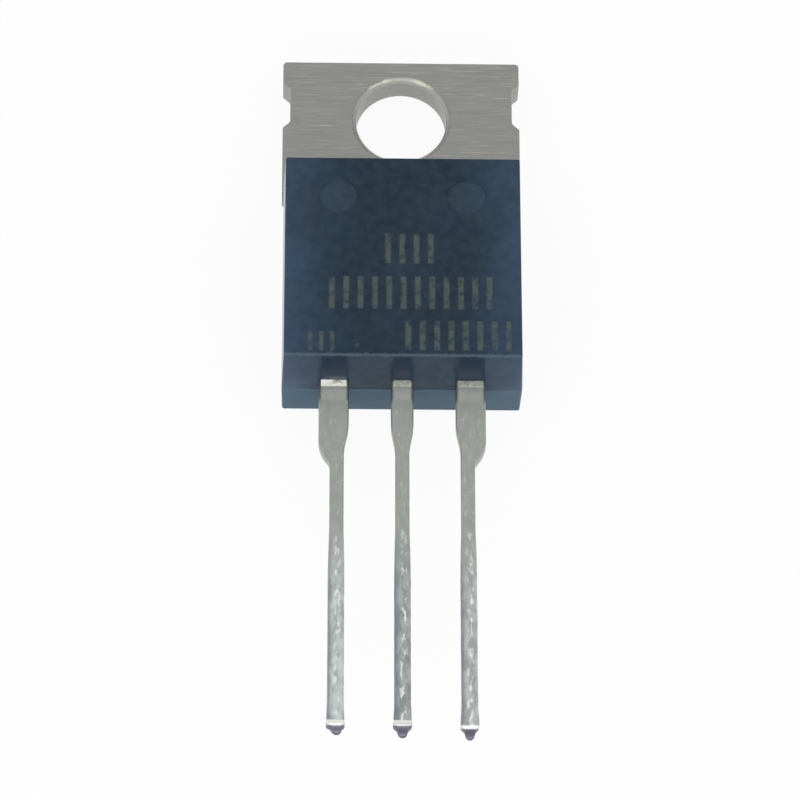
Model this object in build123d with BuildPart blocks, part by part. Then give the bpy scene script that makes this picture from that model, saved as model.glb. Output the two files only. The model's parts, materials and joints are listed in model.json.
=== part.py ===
from build123d import *

import os
from math import radians, tan

# Power transistor in a moulded single-ended package with a metal tab. Sizes are in millimetres.
#
# The part lies on its mounting face. +Z points out of the front face, +Y points towards the end
# of the tab, and the leads run along -Y. The origin is on the axis of the mounting hole, in the
# plane of the mounting face. Inside the moulding, a silicon die is soldered on the header, and
# two bonding wires join it to the inner ends of the outer leads.

# Header: a stamped copper tab, and the narrower pad that carries the die inside the moulding.
tab_width = 9.6
tab_length = 6.04
tab_thickness = 1.27
tab_corner_radius = 0.15
hole_diameter = 3.66
hole_to_tab_end = 2.66
hole_rim_chamfer = 0.2
stamped_edge_chamfer = 0.05
notch_height = 2.08
notch_floor_height = 1.55
notch_depth = 0.3
notch_to_tab_end = 2.02
notch_corner_radius = 0.2
lock_rabbet_width = 0.35
lock_rabbet_depth = 0.5
groove_width = 0.4
groove_depth = 0.15
groove_to_moulding_end = 0.8

# Moulding: two drafted halves that meet in the plane of the leads' undersides. It stands a
# little inside the sides of the tab.
moulding_side_inset = 0.08
moulding_length = 9.24
moulding_height = 4.32
moulding_corner_radius = 0.1
moulding_edge_radius = 0.07
mounting_relief = 0.04
side_draft = 2.2
tab_end_draft = 2.6
lead_end_draft = 10.0
rear_side_draft = 0.4
rear_end_draft = 3.4
side_cover = 0.5
end_cover = 2.6
ejector_mark_diameter = 1.55
ejector_mark_depth = 0.06
ejector_mark_spacing = 5.06
ejector_mark_to_end = 1.86

# Leads: blanked from thin copper strip.
lead_pitch = 2.54
lead_thickness = 0.52
lead_height = 2.11
lead_length = 14.25
lead_edge_chamfer = 0.05
stem_width = 0.555
shoulder_length = 2.88
shoulder_taper = 0.56
shoulder_outer_step = 0.44
shoulder_inner_step = 0.18
shoulder_corner_radius = 1.2
shoulder_blend_radius = 0.7
shoulder_foot_radius = 0.35
inner_shoulder_length = 1.95
inner_shoulder_taper = 0.8
centre_shoulder_width = 0.88
centre_neck_width = 1.4
centre_neck_cover = 0.3
centre_step_start = 0.25
centre_step_slope = 45.0
centre_bend_radius = 0.45
post_width = 2.2
post_length = 2.1
post_offset = 0.25
post_cover = 1.3

# Solder coat on the lower part of each lead. It swells round the lead's end and hangs in a drip.
coat_thickness = 0.04
coat_corner_radius = 0.085
coat_start = 4.4
bulge_length = 0.9
bulge_height = 0.035
drip_length = 0.5
drip_width = 0.2
drip_thickness = 0.18

# Die, its solder and its bonding wires.
die_size = 2.2
die_thickness = 0.28
die_solder_thickness = 0.06
die_solder_margin = 0.16
die_solder_slope = 45.0
bond_to_die_edge = 0.55
bond_spacing = 1.1
wire_rise = 0.55
wire_clearance = 0.01
emitter_wire_diameter = 0.3
emitter_wire_foot = (1.05, 0.36, 0.13)
base_wire_diameter = 0.2
base_wire_foot = (0.7, 0.24, 0.09)
wire_bend_ratio = 1.25
wire_sides = 12
wire_loop_start = 0.3
wire_loop_end = 0.62

# Places that the sizes above give.
tab_end_y = hole_to_tab_end
moulding_end_y = tab_end_y - tab_length
lead_exit_y = moulding_end_y - moulding_length
tip_y = lead_exit_y - lead_length
notch_y = tab_end_y - notch_to_tab_end
moulding_width = tab_width - 2 * moulding_side_inset
pad_width = moulding_width - 2 * side_cover
pad_end_y = lead_exit_y + end_cover
pad_length = moulding_end_y - pad_end_y
lead_top = lead_height + lead_thickness
shoulder_end_y = lead_exit_y - shoulder_length
inner_shoulder_end_y = lead_exit_y - inner_shoulder_length
post_end_y = lead_exit_y + post_cover
coat_end_y = lead_exit_y - coat_start
die_y = (moulding_end_y + pad_end_y) / 2
die_seat = tab_thickness + die_solder_thickness
die_top = die_seat + die_thickness


def break_lead_edges(lead):
    """Breaks the blanked outline of a lead on both of its broad faces."""
    for broad_face in (lead.faces().sort_by(Axis.Z)[0], lead.faces().sort_by(Axis.Z)[-1]):
        chamfer(broad_face.edges(), lead_edge_chamfer)


def solder_coat(x, lead):
    """A thin sleeve of solder round the lead at x, closed at its end by a drip."""
    coat_width = stem_width + 2 * coat_thickness
    coat_height = lead_thickness + 2 * coat_thickness
    centre_z = lead_height + lead_thickness / 2
    across = Plane(origin=(x, coat_end_y, centre_z), x_dir=(1, 0, 0), z_dir=(0, -1, 0))
    dipped_length = coat_end_y - tip_y
    sleeve_length = dipped_length - bulge_length
    with BuildPart() as coat:
        with BuildSketch(across):
            RectangleRounded(coat_width, coat_height, coat_corner_radius)
        extrude(amount=sleeve_length)
        # The swollen end and the drip: distance from the sleeve, width and height.
        for distance, width, height in (
            (0, coat_width, coat_height),
            (bulge_length / 2, coat_width + bulge_height, coat_height + bulge_height),
            (bulge_length, coat_width + 2 * bulge_height, coat_height + 2 * bulge_height),
            (
                bulge_length + drip_length / 3,
                (coat_width + drip_width) / 2,
                (coat_height + drip_thickness) / 2,
            ),
            (bulge_length + drip_length, drip_width, drip_thickness),
        ):
            with BuildSketch(across.offset(sleeve_length + distance)):
                RectangleRounded(width, height, coat_corner_radius)
        loft(ruled=True)
        add(lead.part, mode=Mode.SUBTRACT)
    return coat


def bonding_wire(die_point, post_point, diameter, foot):
    """A looped wire from the die to a lead's post, with a flattened foot at each end."""
    foot_length, foot_width, foot_height = foot
    radius = diameter / 2
    run = Vector(post_point) - Vector(die_point)
    rise = run.Z
    along = Vector(run.X, run.Y, 0).normalized()
    span = Vector(run.X, run.Y, 0).length
    lying_height = radius + wire_clearance
    loop_height = lead_top + wire_rise - die_point[2]
    reach = foot_length / 2 - radius
    upright = Plane(origin=die_point, x_dir=along, z_dir=along.cross(Vector(0, 0, 1)))
    with BuildPart() as wire:
        with BuildLine(upright) as loop:
            FilletPolyline(
                (-reach, lying_height),
                (reach, lying_height),
                (span * wire_loop_start, loop_height),
                (span * wire_loop_end, loop_height),
                (span - reach, rise + lying_height),
                (span + reach, rise + lying_height),
                radius=wire_bend_ratio * diameter,
            )
        with BuildSketch(Plane(origin=loop.line @ 0, z_dir=loop.line % 0)):
            RegularPolygon(radius, wire_sides)
        sweep(path=loop.line)
        for bond_point in (die_point, post_point):
            with BuildSketch(Plane(origin=bond_point, x_dir=along)):
                SlotOverall(foot_length, foot_width)
            extrude(amount=foot_height)
    return wire


# Outer leads: a post inside the moulding, a cropped shoulder and a stem.
stem_inner_x = lead_pitch - stem_width / 2
stem_outer_x = lead_pitch + stem_width / 2
shoulder_inner_x = stem_inner_x - shoulder_inner_step
shoulder_outer_x = stem_outer_x + shoulder_outer_step
post_x = lead_pitch + post_offset

with BuildPart() as emitter_lead:
    with BuildSketch(Plane.XY.offset(lead_height)) as lead_outline:
        with BuildLine():
            Polyline(
                (stem_inner_x, tip_y),
                (stem_inner_x, inner_shoulder_end_y - inner_shoulder_taper),
                (shoulder_inner_x, inner_shoulder_end_y),
                (shoulder_inner_x, post_end_y),
                (post_x - post_width / 2, post_end_y),
                (post_x - post_width / 2, post_end_y + post_length),
                (post_x + post_width / 2, post_end_y + post_length),
                (post_x + post_width / 2, post_end_y),
                (shoulder_outer_x, post_end_y),
                (shoulder_outer_x, shoulder_end_y),
                (stem_outer_x, shoulder_end_y - shoulder_taper),
                (stem_outer_x, tip_y),
                close=True,
            )
        make_face()
        for bend_y, radius in (
            (shoulder_end_y - shoulder_taper, shoulder_foot_radius),
            (shoulder_end_y, shoulder_corner_radius),
            (inner_shoulder_end_y - inner_shoulder_taper, shoulder_blend_radius),
            (inner_shoulder_end_y, shoulder_blend_radius),
        ):
            nearest = lead_outline.vertices().sort_by(lambda v: abs(v.Y - bend_y))
            fillet(nearest[0], radius)
    extrude(amount=lead_thickness)
    break_lead_edges(emitter_lead)

with BuildPart() as base_lead:
    mirror(emitter_lead.part, about=Plane.YZ)

# Centre lead: it steps up from the front of the header's pad to the plane of the outer leads.
step_low = tab_thickness - lead_thickness / 2
step_high = lead_height + lead_thickness / 2
step_start_y = pad_end_y - centre_step_start
step_end_y = step_start_y - (step_high - step_low) / tan(radians(centre_step_slope))
blade_start_y = step_end_y - centre_bend_radius * tan(radians(centre_step_slope / 2))
neck_end_y = lead_exit_y + centre_neck_cover

with BuildPart() as centre_blade:
    with BuildSketch(Plane.XY.offset(lead_height)) as blade_outline:
        with BuildLine():
            Polyline(
                (0, blade_start_y),
                (centre_neck_width / 2, blade_start_y),
                (centre_neck_width / 2, neck_end_y),
                (centre_shoulder_width / 2, neck_end_y),
                (centre_shoulder_width / 2, inner_shoulder_end_y),
                (stem_width / 2, inner_shoulder_end_y - inner_shoulder_taper),
                (stem_width / 2, tip_y),
                (0, tip_y),
                close=True,
            )
        make_face()
        bends = blade_outline.vertices().filter_by(
            lambda v: v.X > 0 and tip_y < v.Y < lead_exit_y
        )
        fillet(bends, shoulder_blend_radius)
        mirror(about=Plane.YZ)
    extrude(amount=lead_thickness)
    break_lead_edges(centre_blade)

# The tab's side notches narrow towards their floors. Their flanks run on past the tab's edge.
notch_floor_x = tab_width / 2 - notch_depth
notch_floor_half = notch_floor_height / 2

with BuildSketch() as notches:
    with BuildLine():
        Polyline(
            (notch_floor_x, notch_y - notch_floor_half),
            (notch_floor_x, notch_y + notch_floor_half),
            (notch_floor_x + 2 * notch_depth, notch_y + notch_height - notch_floor_half),
            (notch_floor_x + 2 * notch_depth, notch_y - notch_height + notch_floor_half),
            close=True,
        )
    make_face()
    fillet(notches.vertices().group_by(Axis.X)[0], notch_corner_radius)
    mirror(about=Plane.YZ)

with BuildPart() as collector_header:
    with BuildSketch() as blank:
        with Locations((0, moulding_end_y)):
            Rectangle(tab_width, tab_length, align=(Align.CENTER, Align.MIN))
            Rectangle(pad_width, pad_length, align=(Align.CENTER, Align.MAX))
        fillet(blank.vertices().group_by(Axis.Y)[-1], tab_corner_radius)
        add(notches.sketch, mode=Mode.SUBTRACT)
        Circle(hole_diameter / 2, mode=Mode.SUBTRACT)
    extrude(amount=tab_thickness)
    front_face = collector_header.faces().sort_by(Axis.Z)[-1]
    chamfer(front_face.inner_wires().edges(), hole_rim_chamfer)
    front_face = collector_header.faces().filter_by(Plane.XY).sort_by(Axis.Z)[-1]
    tab_edges = front_face.outer_wire().edges().filter_by(
        lambda e: (e @ 0.5).Y > moulding_end_y
    )
    chamfer(tab_edges, stamped_edge_chamfer)
    # Rabbets along the pad's back edges, which the moulding grips.
    rabbet_x = (pad_width - lock_rabbet_width) / 2
    with BuildSketch():
        with Locations((0, pad_end_y)):
            Rectangle(pad_width, lock_rabbet_width, align=(Align.CENTER, Align.MIN))
        with Locations((-rabbet_x, die_y), (rabbet_x, die_y)):
            Rectangle(lock_rabbet_width, pad_length)
    extrude(amount=lock_rabbet_depth, mode=Mode.SUBTRACT)
    # Vee groove across the pad's front, near the end of the moulding.
    groove_y = moulding_end_y - groove_to_moulding_end
    with BuildSketch(Plane.YZ):
        with BuildLine():
            Polyline(
                (groove_y - groove_width / 2, tab_thickness),
                (groove_y, tab_thickness - groove_depth),
                (groove_y + groove_width / 2, tab_thickness),
                close=True,
            )
        make_face()
    extrude(amount=pad_width / 2, both=True, mode=Mode.SUBTRACT)
    # The step up to the centre lead.
    with BuildLine(Plane.YZ) as step:
        FilletPolyline(
            (pad_end_y + lock_rabbet_width, step_low),
            (step_start_y, step_low),
            (step_end_y, step_high),
            (neck_end_y, step_high),
            radius=centre_bend_radius,
        )
    with BuildSketch(Plane(origin=step.line @ 0, x_dir=(1, 0, 0), z_dir=step.line % 0)):
        Rectangle(centre_neck_width, lead_thickness)
    sweep(path=step.line)
    add(centre_blade.part)

base_solder_coat = solder_coat(-lead_pitch, base_lead)
collector_solder_coat = solder_coat(0, collector_header)
emitter_solder_coat = solder_coat(lead_pitch, emitter_lead)

with BuildPart() as die_attach_solder:
    with BuildSketch(Plane.XY.offset(tab_thickness)):
        with Locations((0, die_y)):
            Rectangle(die_size + 2 * die_solder_margin, die_size + 2 * die_solder_margin)
    extrude(amount=die_solder_thickness, taper=die_solder_slope)

with BuildPart() as silicon_die:
    with BuildSketch(Plane.XY.offset(die_seat)):
        with Locations((0, die_y)):
            Rectangle(die_size, die_size)
    extrude(amount=die_thickness)

bond_x = bond_spacing / 2
bond_y = die_y - die_size / 2 + bond_to_die_edge
post_y = post_end_y + post_length / 2
emitter_bond_wire = bonding_wire(
    (bond_x, bond_y, die_top),
    (post_x, post_y, lead_top),
    emitter_wire_diameter,
    emitter_wire_foot,
)
base_bond_wire = bonding_wire(
    (-bond_x, bond_y, die_top),
    (-post_x, post_y, lead_top),
    base_wire_diameter,
    base_wire_foot,
)

front_height = moulding_height - lead_height
side_inset = front_height * tan(radians(side_draft))
tab_end_inset = front_height * tan(radians(tab_end_draft))
lead_end_inset = front_height * tan(radians(lead_end_draft))
rear_height = lead_height - mounting_relief
rear_side_inset = rear_height * tan(radians(rear_side_draft))
rear_end_inset = rear_height * tan(radians(rear_end_draft))
moulding_y = (moulding_end_y + lead_exit_y) / 2

with BuildPart() as moulded_body:
    # Front half, from the leads' undersides to the front face.
    with BuildSketch(Plane.XY.offset(lead_height)):
        with Locations((0, moulding_y)):
            RectangleRounded(moulding_width, moulding_length, moulding_corner_radius)
    with BuildSketch(Plane.XY.offset(moulding_height)):
        with Locations((0, moulding_y + (lead_end_inset - tab_end_inset) / 2)):
            RectangleRounded(
                moulding_width - 2 * side_inset,
                moulding_length - tab_end_inset - lead_end_inset,
                moulding_corner_radius,
            )
    loft(ruled=True)
    # Rear half, with no draft at the end where the tab comes out.
    with BuildSketch(Plane.XY.offset(mounting_relief)):
        with Locations((0, moulding_y + rear_end_inset / 2)):
            RectangleRounded(
                moulding_width - 2 * rear_side_inset,
                moulding_length - rear_end_inset,
                moulding_corner_radius,
            )
    with BuildSketch(Plane.XY.offset(lead_height)):
        with Locations((0, moulding_y)):
            RectangleRounded(moulding_width, moulding_length, moulding_corner_radius)
    loft(ruled=True)
    fillet(moulded_body.faces().sort_by(Axis.Z)[-1].edges(), moulding_edge_radius)
    # Shallow discs left by the mould's ejector pins.
    with BuildSketch(Plane.XY.offset(moulding_height)):
        with Locations((0, moulding_end_y - ejector_mark_to_end)):
            with GridLocations(ejector_mark_spacing, 0, 2, 1):
                Circle(ejector_mark_diameter / 2)
    extrude(amount=-ejector_mark_depth, mode=Mode.SUBTRACT)
    for insert in (
        collector_header,
        emitter_lead,
        base_lead,
        die_attach_solder,
        silicon_die,
        emitter_bond_wire,
        base_bond_wire,
    ):
        add(insert.part, mode=Mode.SUBTRACT)

pieces = {
    "moulded_body": moulded_body,
    "collector_header": collector_header,
    "base_lead": base_lead,
    "emitter_lead": emitter_lead,
    "silicon_die": silicon_die,
    "die_attach_solder": die_attach_solder,
    "base_bond_wire": base_bond_wire,
    "emitter_bond_wire": emitter_bond_wire,
    "base_solder_coat": base_solder_coat,
    "collector_solder_coat": collector_solder_coat,
    "emitter_solder_coat": emitter_solder_coat,
}

os.makedirs("parts", exist_ok=True)
for name, piece in pieces.items():
    piece.part.label = name
    export_step(piece.part, f"parts/{name}.step")
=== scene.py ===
"""Looks of the power transistor, laid out as an add-on and run as a script.

Every piece is modelled in metres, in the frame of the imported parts: the origin is on the axis of
the mounting hole, in the plane of the mounting face, +Z points out of the front face, and the
leads run along -Y.
"""

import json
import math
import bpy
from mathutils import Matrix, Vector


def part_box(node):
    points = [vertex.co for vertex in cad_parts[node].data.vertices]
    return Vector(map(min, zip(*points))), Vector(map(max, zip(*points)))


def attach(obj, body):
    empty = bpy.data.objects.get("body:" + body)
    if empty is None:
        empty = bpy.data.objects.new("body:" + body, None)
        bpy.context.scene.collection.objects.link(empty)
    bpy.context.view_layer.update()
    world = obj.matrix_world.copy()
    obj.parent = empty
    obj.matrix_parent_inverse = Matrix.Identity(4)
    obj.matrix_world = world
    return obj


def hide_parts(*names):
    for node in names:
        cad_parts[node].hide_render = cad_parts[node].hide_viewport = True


bl_info = {
    "name": "Power Transistor",
    "version": (1, 0, 0),
    "blender": (4, 5, 0),
    "location": "3D View > Sidebar > Transistor",
    "description": "Models and finishes a power transistor with a metal tab",
    "category": "Object",
}

import bmesh
import bpy
from bpy.props import FloatProperty, FloatVectorProperty, IntProperty, PointerProperty
from mathutils import Matrix, Vector

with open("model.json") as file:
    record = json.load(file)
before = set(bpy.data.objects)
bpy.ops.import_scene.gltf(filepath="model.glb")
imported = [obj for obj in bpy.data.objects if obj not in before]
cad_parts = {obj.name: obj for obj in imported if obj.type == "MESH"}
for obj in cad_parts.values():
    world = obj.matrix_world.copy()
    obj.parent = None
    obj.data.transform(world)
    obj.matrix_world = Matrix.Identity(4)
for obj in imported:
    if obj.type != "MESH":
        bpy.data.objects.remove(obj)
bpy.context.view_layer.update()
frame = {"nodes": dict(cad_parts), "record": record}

MM = 0.001
NEAR = 2e-6
SHARP = math.radians(15)
STEP_RUN = 0.05 * MM
DRIP_PROFILE = (
    (0.08, 0.98),
    (0.2, 0.88),
    (0.32, 0.72),
    (0.45, 0.6),
    (0.65, 0.52),
    (0.85, 0.4),
    (0.95, 0.25),
    (1.0, 0.1),
)

MOULDING_LOW, MOULDING_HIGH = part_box("moulded_body")
HEADER_LOW, HEADER_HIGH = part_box("collector_header")
LEAD_LOW, LEAD_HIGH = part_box("emitter_lead")
COAT_LOW, COAT_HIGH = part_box("emitter_solder_coat")
MOUNTS = {mount["name"]: mount for mount in frame["record"]["mounts"]}
LEAD_PITCH = MOUNTS["emitter_terminal"]["pos_m"][0]
HOLE_RADIUS = MOUNTS["mounting_hole"]["dims"]["r_mm"] * MM


# Sizes, colours and studio values that a user would change


def length(name, description, default):
    """A length property, in metres."""
    return FloatProperty(
        name=name, description=description, default=default, unit="LENGTH", precision=6
    )


def angle(name, description, degrees):
    """An angle property, given in degrees."""
    return FloatProperty(
        name=name, description=description, default=math.radians(degrees), subtype="ANGLE"
    )


def colour(name, description, default):
    """A linear RGB colour property."""
    return FloatVectorProperty(
        name=name, description=description, default=default, subtype="COLOR", min=0, max=1
    )


class TransistorMouldingSizes(bpy.types.PropertyGroup):
    """Sizes of the black moulding."""

    side_draft: angle("Side draft", "Lean of the front half's sides", 2.2)
    tab_end_draft: angle("Tab end draft", "Lean of the front half at the tab", 2.6)
    lead_end_draft: angle("Lead end draft", "Lean of the front half at the leads", 10.0)
    rear_side_draft: angle("Rear side draft", "Lean of the rear half's sides", 0.4)
    rear_end_draft: angle("Rear end draft", "Lean of the rear half at the leads", 3.4)
    corner_radius: length("Corner radius", "Radius of the upright corners", 0.1 * MM)
    front_radius: length("Front edge radius", "Radius round the front face", 0.07 * MM)
    rear_radius: length("Rear edge radius", "Radius round the rear face", 0.03 * MM)
    mark_diameter: length("Mark diameter", "Width of an ejector mark", 1.55 * MM)
    mark_depth: length("Mark depth", "Depth of an ejector mark", 0.06 * MM)
    mark_spacing: length("Mark spacing", "Distance between the ejector marks", 5.06 * MM)
    mark_to_end: length("Mark to end", "From the tab's end of the moulding", 1.86 * MM)


class TransistorHeaderSizes(bpy.types.PropertyGroup):
    """Sizes of the tab and of the pad inside the moulding."""

    thickness: length("Thickness", "Thickness of the tab and the pad", 1.27 * MM)
    corner_radius: length("Corner radius", "Radius of the tab's end corners", 0.15 * MM)
    rim_chamfer: length("Hole rim", "Chamfer of the hole's front rim", 0.2 * MM)
    edge_radius: length("Edge roll", "Rounding of the stamped front edges", 0.06 * MM)
    notch_height: length("Notch height", "Height of the side notches", 2.08 * MM)
    notch_floor: length("Notch floor", "Height of a notch's floor", 1.55 * MM)
    notch_depth: length("Notch depth", "Depth of the side notches", 0.3 * MM)
    notch_to_end: length("Notch to end", "From the tab's end to a notch's middle", 2.02 * MM)
    notch_blend: length("Notch corners", "Run of the rounding in a notch", 0.09 * MM)
    side_cover: length("Side cover", "Moulding beside the pad", 0.5 * MM)
    end_cover: length("End cover", "Moulding past the end of the pad", 2.6 * MM)
    rabbet_width: length("Rabbet width", "Width of the lock along the pad", 0.35 * MM)
    rabbet_depth: length("Rabbet depth", "Depth of the lock along the pad", 0.5 * MM)
    groove_width: length("Groove width", "Width of the groove across the pad", 0.4 * MM)
    groove_depth: length("Groove depth", "Depth of the groove across the pad", 0.15 * MM)
    groove_to_end: length("Groove to end", "From the moulding's end", 0.8 * MM)
    step_start: length("Step start", "From the pad to the first bend", 0.25 * MM)
    step_radius: length("Step radius", "Radius of the bends to the lead", 0.45 * MM)
    step_slope: angle("Step slope", "Slope between the two bends", 45.0)
    neck_width: length("Neck width", "Width of the strip up to the lead", 1.4 * MM)
    neck_cover: length("Neck cover", "Moulding past the end of the neck", 0.3 * MM)


class TransistorLeadSizes(bpy.types.PropertyGroup):
    """Sizes of the leads."""

    stem_width: length("Stem width", "Width of a lead's stem", 0.555 * MM)
    edge_radius: length("Edge radius", "Rounding of a lead's long edges", 0.09 * MM)
    shoulder_length: length("Shoulder length", "Outer shoulder, below the moulding", 2.88 * MM)
    shoulder_taper: length("Shoulder taper", "Length of the outer taper", 0.56 * MM)
    outer_step: length("Outer step", "Shoulder beyond the stem, outside", 0.44 * MM)
    inner_step: length("Inner step", "Shoulder beyond the stem, inside", 0.18 * MM)
    inner_length: length("Inner length", "Inner shoulder, below the moulding", 1.95 * MM)
    inner_taper: length("Inner taper", "Length of the inner taper", 0.8 * MM)
    corner_run: length("Outer corner", "Run of the rounding at the outer corner", 0.41 * MM)
    blend_run: length("Taper blend", "Run of the rounding at an inner bend", 0.25 * MM)
    foot_run: length("Foot blend", "Run of the rounding at the outer foot", 0.13 * MM)
    centre_width: length("Centre shoulder", "Width of the centre shoulder", 0.88 * MM)
    post_width: length("Post width", "Width of a post inside the moulding", 2.2 * MM)
    post_cover: length("Post cover", "Moulding past the end of a post", 1.3 * MM)


class TransistorSolderSizes(bpy.types.PropertyGroup):
    """Sizes of the solder on the leads."""

    thickness: length("Thickness", "Thickness of the solder coat", 0.045 * MM)
    sunk: length("Sunk start", "Depth below the lead's face where the coat starts", 0.03 * MM)
    thickening: length("Thickening", "Length in which the coat reaches its thickness", 4.0 * MM)
    bulge_height: length("Bulge", "Swelling round the lead's end", 0.035 * MM)
    bulge_length: length("Bulge length", "Length of the swelling", 0.9 * MM)
    lump_height: length("Lump height", "Height of the solder's lumps", 0.02 * MM)
    lump_size: length("Lump size", "Width of the solder's lumps", 0.35 * MM)
    ring_step: length("Ring step", "Distance between the coat's rings", 0.06 * MM)


class TransistorRidgeSizes(bpy.types.PropertyGroup):
    """Sizes of the bare ridge on each lead, where it leaves the moulding."""

    height: length("Height", "Height over the lead", 0.075 * MM)
    reach: length("Reach", "Run of the ridge's slope", 0.36 * MM)
    tuck: length("Tuck", "Depth into the moulding and the lead", 0.04 * MM)
    unevenness: length("Unevenness", "Height of its dents", 0.03 * MM)


class TransistorFinishes(bpy.types.PropertyGroup):
    """Colours of the finishes."""

    compound: colour("Compound", "Moulding compound", (0.0045, 0.021, 0.043))
    # Painted sheen: the compound is lighter and bluer near the sides, where light falls on them.
    compound_side_sheen: colour("Compound, sides", "Compound near the sides", (0.0255, 0.056, 0.107))
    ink: colour("Ink", "Worn printed marks", (0.08, 0.1, 0.09))
    frosted: colour("Frosted compound", "Rear half's end, at the leads", (0.052, 0.098, 0.145))
    tin: colour("Tin", "Dull plating on the tab", (0.34, 0.345, 0.32))
    lead_tin: colour("Lead tin", "Plating on the leads", (0.415, 0.445, 0.408))
    bare_tin: colour("Bare tin", "Bright metal on rims and ridges", (0.66, 0.69, 0.53))
    solder: colour("Solder", "Solder on the centre lead", (0.485, 0.53, 0.52))
    bright_solder: colour("Bright solder", "Solder on the outer leads", (0.7, 0.75, 0.73))
    silicon: colour("Silicon", "Die", (0.05, 0.05, 0.06))
    aluminium: colour("Aluminium", "Bonding wires", (0.75, 0.75, 0.75))
    floor: colour("Floor", "Floor and backdrop", (0.93, 0.93, 0.93))


class TransistorStudio(bpy.types.PropertyGroup):
    """Camera and light."""

    distance: length("Distance", "Camera to the middle of the part", 177.17 * MM)
    focal_length: FloatProperty(
        name="Focal length", description="Lens, in millimetres", default=203.066
    )
    tilt: angle("Tilt", "Camera's lean from upright", 26.526)
    turn: angle("Turn", "Camera's turn about the part", -2.629)
    roll: angle("Roll", "Camera's roll about its view", 2.858)
    world_level: FloatProperty(
        name="World level", description="Strength of the even light", default=0.78, min=0
    )
    front_level: FloatProperty(
        name="Front light", description="Power of the front lamp, in watts", default=0.18, min=0
    )
    lamp_height: angle("Lamp height", "Front lamp's angle over the floor", 26.5)
    lamp_distance: length("Lamp distance", "Front lamp to the part", 180 * MM)
    lamp_width: length("Lamp width", "Width of the front lamp", 360 * MM)
    white_share: FloatProperty(
        name="White share",
        description="Share of plain white in the floor as it is seen",
        default=0.92,
        min=0,
        max=1,
    )
    shift_across: FloatProperty(
        name="Shift across", description="Camera's sideways shift", default=-0.002295
    )
    shift_up: FloatProperty(
        name="Shift up", description="Camera's upward shift", default=-0.035645
    )


# Modelling helpers


def deselect_all():
    """Leaves nothing selected, in object mode."""
    if bpy.context.object and bpy.context.object.mode != "OBJECT":
        bpy.ops.object.mode_set(mode="OBJECT")
    bpy.ops.object.select_all(action="DESELECT")


def activate(piece):
    """Selects one piece alone and makes it active."""
    deselect_all()
    piece.select_set(True)
    bpy.context.view_layer.objects.active = piece


def edit(piece):
    """Opens one piece for editing, with nothing in it selected."""
    activate(piece)
    bpy.ops.object.mode_set(mode="EDIT")
    bpy.ops.mesh.select_all(action="DESELECT")


def choose(piece, kind, test):
    """Selects the vertices, edges or faces that pass a test, in edit mode."""
    bpy.ops.mesh.select_mode(type=kind)
    bpy.ops.mesh.select_all(action="DESELECT")
    mesh = bmesh.from_edit_mesh(piece.data)
    items = {"VERT": mesh.verts, "EDGE": mesh.edges, "FACE": mesh.faces}[kind]
    found = [item for item in items if test(item)]
    if not found:
        raise RuntimeError(f"{piece.name}: nothing to select")
    for item in found:
        item.select_set(True)
    bmesh.update_edit_mesh(piece.data)


def shift(piece, test, offset):
    """Moves the vertices that pass a test."""
    choose(piece, "VERT", test)
    bpy.ops.transform.translate(value=offset)


def bevel(piece, test, radius, segments):
    """Rounds the sharp edges that pass a test."""
    choose(piece, "EDGE", lambda e: e.calc_face_angle(0) > SHARP and test(e))
    bpy.ops.mesh.bevel(offset=radius, segments=segments, profile=0.5, affect="EDGES")


def middle(edge):
    """The middle of an edge."""
    return (edge.verts[0].co + edge.verts[1].co) / 2


def runs_along(edge, axis):
    """Whether an edge runs mostly along an axis, given as 0, 1 or 2."""
    run = (edge.verts[1].co - edge.verts[0].co).normalized()
    return abs(run[axis]) > 0.9


def on_plane(item, axis, value):
    """Whether an edge or face lies in a plane across an axis."""
    return all(abs(vertex.co[axis] - value) < NEAR for vertex in item.verts)


def block(name, low, high):
    """A rectangular block between two corners, its place in its mesh."""
    deselect_all()
    low, high = Vector(low), Vector(high)
    bpy.ops.mesh.primitive_cube_add(size=1, location=(low + high) / 2, scale=high - low)
    piece = bpy.context.object
    piece.name = name
    bpy.ops.object.transform_apply(location=True, rotation=True, scale=True)
    return piece


def apply_modifier(piece, kind, **settings):
    """Adds a modifier to a piece and applies it."""
    activate(piece)
    bpy.ops.object.modifier_add(type=kind)
    modifier = piece.modifiers[-1]
    for setting, value in settings.items():
        setattr(modifier, setting, value)
    bpy.ops.object.modifier_apply(modifier=modifier.name)


def cut(piece, cutter):
    """Cuts a cutter out of a piece and removes the cutter."""
    apply_modifier(piece, "BOOLEAN", operation="DIFFERENCE", solver="EXACT", object=cutter)
    bpy.data.objects.remove(cutter)


def finish_mesh(piece, smooth_angle=35.0):
    """Closes a piece's mesh, smooths its rounded edges and leaves it at the origin."""
    edit(piece)
    bpy.ops.mesh.select_all(action="SELECT")
    bpy.ops.mesh.remove_doubles(threshold=NEAR / 10)
    bpy.ops.mesh.normals_make_consistent(inside=False)
    bpy.ops.object.mode_set(mode="OBJECT")
    bpy.ops.object.shade_smooth_by_angle(angle=math.radians(smooth_angle))
    apply_modifier(piece, "WEIGHTED_NORMAL", keep_sharp=True)
    activate(piece)
    bpy.ops.object.transform_apply(location=True, rotation=True, scale=True)


def stand_for(piece, node, material):
    """Gives a piece its finish and its body, and hides the CAD node that it stands for."""
    piece.data.materials.clear()
    piece.data.materials.append(material)
    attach(piece, "root")
    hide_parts(node)


# Shader helpers


def add_node(tree, kind, settings=None, **sockets):
    """Adds a node, sets its options, and links or sets its inputs by name or number."""
    made = tree.nodes.new(kind)
    for setting, value in (settings or {}).items():
        setattr(made, setting, value)
    for key, value in sockets.items():
        place = int(key[1:]) if key[0] == "i" and key[1:].isdigit() else key.replace("_", " ")
        if isinstance(value, bpy.types.NodeSocket):
            tree.links.new(value, made.inputs[place])
        else:
            made.inputs[place].default_value = value
    return made


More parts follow.
